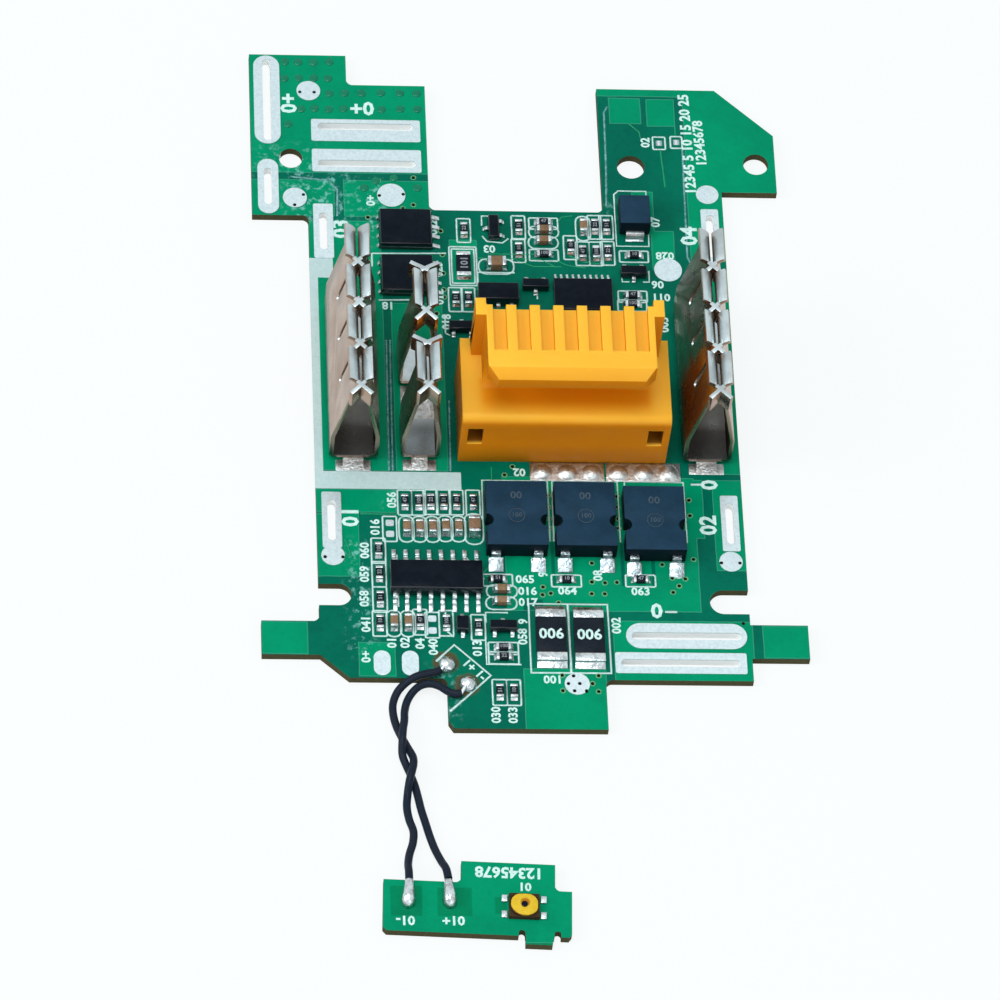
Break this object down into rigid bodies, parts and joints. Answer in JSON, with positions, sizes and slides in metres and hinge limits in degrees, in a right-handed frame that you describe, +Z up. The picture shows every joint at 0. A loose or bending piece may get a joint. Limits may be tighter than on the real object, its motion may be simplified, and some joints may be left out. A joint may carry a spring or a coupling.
{
  "type": "battery management board",
  "caption": "Battery management board with fork terminals, a data connector and a protection circuit, wired to a small push switch board.",
  "frame": {"origin": "centre of the main board's outline on its underside, where it rests", "axes": "+Z up out of the populated face, +Y towards the two rear lobes, +X towards the right wing"},
  "size_m": [0.0586, 0.1144, 0.017],
  "materials": {
    "board": "glossy solder mask",
    "tin": "bright tinned metal and solder",
    "terminal": "bright plated spring sheet",
    "housing": "smooth moulded plastic",
    "mould": "moulded chip body",
    "ceramic_dark": "dark coated ceramic",
    "ceramic_tan": "tan ceramic",
    "lead": "smooth black insulation",
    "switch_frame": "dark brown plastic",
    "button": "yellow film"
  },
  "bodies": {
    "board": {"main_board": "board", "tab_pads": "tin", "test_pads": "tin", "terminal_solder": "tin", "connector_solder": "tin", "power_terminal_left": "terminal", "power_terminal_right": "terminal", "signal_terminal_rear": "terminal", "signal_terminal_front": "terminal", "connector_housing": "housing", "power_fet_1": "mould", "power_fet_2": "mould", "power_fet_3": "mould", "fet_frame_1": "tin", "fet_frame_2": "tin", "fet_frame_3": "tin", "controller_chip": "mould", "controller_leads": "tin", "monitor_chip": "mould", "monitor_leads": "tin", "switch_chip_1": "mould", "switch_chip_2": "mould", "switch_chip_leads": "tin", "shunt_1": "ceramic_dark", "shunt_2": "ceramic_dark", "shunt_ends": "tin", "clamp_diode": "mould", "clamp_diode_tabs": "tin", "regulator": "mould", "regulator_leads": "tin", "small_transistors": "mould", "small_transistor_leads": "tin", "signal_diode": "mould", "signal_diode_leads": "tin", "chip_resistors": "ceramic_dark", "chip_capacitors": "ceramic_tan", "chip_ends": "tin", "large_resistor": "ceramic_dark", "large_resistor_ends": "tin", "large_capacitors": "ceramic_tan", "large_capacitor_ends": "tin", "lead_a": "lead", "lead_b": "lead", "main_lead_solder": "tin", "switch_lead_solder": "tin", "switch_board": "board", "push_switch_base": "switch_frame", "push_switch_frame": "switch_frame", "push_switch_dome": "tin", "push_switch_legs": "tin"},
    "button": {"push_switch_button": "button", "push_switch_nub": "mould"}
  },
  "joints": [
    {"name": "button_press", "type": "slide", "parent": "board", "child": "button", "axis": [0, 0, -1], "range_m": [0, 0.0002], "stiffness_N_per_m": 3000, "deforming": ["push_switch_dome"]}
  ]
}
